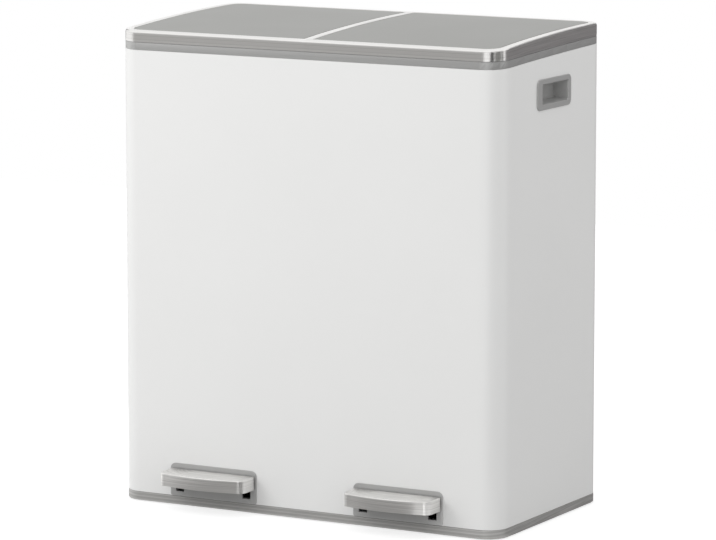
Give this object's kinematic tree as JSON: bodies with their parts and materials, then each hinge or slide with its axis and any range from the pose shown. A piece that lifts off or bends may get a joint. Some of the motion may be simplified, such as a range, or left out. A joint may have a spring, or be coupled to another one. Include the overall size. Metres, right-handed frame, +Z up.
{
  "type": "double pedal recycling bin",
  "caption": "Tall rectangular pedal bin split into side-by-side compartments, each with its own pedal, inset hinged lid and lift-out bucket, with recessed side handles.",
  "frame": {"origin": "centre of the bounding box's underside, on the floor midway between the front of the pedals and the back of the body", "axes": "+Z up; the pedals face -Y; +X is the right-hand side seen from the back, which is the viewer's right when facing the pedals"},
  "size_m": [0.5936, 0.3606, 0.67],
  "materials": {
    "white_steel": "satin white powder coat",
    "grey_plastic": "fine matte mid grey",
    "lid_grey": "smooth matte warm grey",
    "dark_plastic": "matte dark grey",
    "brushed_steel": "stainless steel brushed lengthwise",
    "plated_steel": "dull zinc plate",
    "rubber": "matte black"
  },
  "bodies": {
    "cabinet": {"body_shell": "white_steel", "base_tray": "grey_plastic", "top_frame": "grey_plastic", "steel_rim": "brushed_steel", "rim_bar": "brushed_steel", "foot_pad_front_left": "rubber", "foot_pad_front_right": "rubber", "foot_pad_rear_left": "rubber", "foot_pad_rear_right": "rubber", "handle_pocket_left": "grey_plastic", "handle_pocket_right": "grey_plastic", "pedal_bezel_left": "grey_plastic", "pedal_bezel_right": "grey_plastic", "hinge_rod_left": "plated_steel", "hinge_rod_right": "plated_steel", "rod_guide_left": "dark_plastic", "rod_guide_right": "dark_plastic", "pedal_axle_left": "plated_steel", "pedal_axle_right": "plated_steel", "bucket_left": "dark_plastic", "bucket_right": "dark_plastic", "bucket_bail_left": "plated_steel", "bucket_bail_right": "plated_steel"},
    "lid_left": {"lid_panel_left": "lid_grey", "lid_liner_left": "dark_plastic", "crank_pin_left": "plated_steel"},
    "lid_right": {"lid_panel_right": "lid_grey", "lid_liner_right": "dark_plastic", "crank_pin_right": "plated_steel"},
    "rod_left": {"push_rod_left": "plated_steel", "rod_yoke_left": "dark_plastic"},
    "rod_right": {"push_rod_right": "plated_steel", "rod_yoke_right": "dark_plastic"},
    "pedal_left": {"pedal_cap_left": "brushed_steel", "pedal_core_left": "dark_plastic", "pedal_lever_left": "plated_steel"},
    "pedal_right": {"pedal_cap_right": "brushed_steel", "pedal_core_right": "dark_plastic", "pedal_lever_right": "plated_steel"}
  },
  "joints": [
    {"name": "lid_left_hinge", "type": "hinge", "parent": "cabinet", "child": "lid_left", "pos_m": [-0.14475, 0.1402, 0.662], "axis": [-1, 0, 0], "range_deg": [0, 80]},
    {"name": "lid_right_hinge", "type": "hinge", "parent": "cabinet", "child": "lid_right", "pos_m": [0.14475, 0.1402, 0.662], "axis": [-1, 0, 0], "range_deg": [0, 80]},
    {"name": "rod_left_slide", "type": "slide", "parent": "cabinet", "child": "rod_left", "axis": [0, 0, 1], "range_m": [0, 0.0412]},
    {"name": "rod_right_slide", "type": "slide", "parent": "cabinet", "child": "rod_right", "axis": [0, 0, 1], "range_m": [0, 0.0412]},
    {"name": "pedal_left_hinge", "type": "hinge", "parent": "cabinet", "child": "pedal_left", "pos_m": [-0.1445, -0.0763, 0.0285], "axis": [1, 0, 0], "range_deg": [0, 11.77]},
    {"name": "pedal_right_hinge", "type": "hinge", "parent": "cabinet", "child": "pedal_right", "pos_m": [0.1445, -0.0763, 0.0285], "axis": [1, 0, 0], "range_deg": [0, 11.77]}
  ],
  "couplings": [
    {"joint": "rod_left_slide", "follows": "lid_left_hinge", "m_per_rad": 0.029445},
    {"joint": "rod_right_slide", "follows": "lid_right_hinge", "m_per_rad": 0.029445},
    {"joint": "pedal_left_hinge", "follows": "lid_left_hinge", "ratio": 0.14708},
    {"joint": "pedal_right_hinge", "follows": "lid_right_hinge", "ratio": 0.14708}
  ]
}
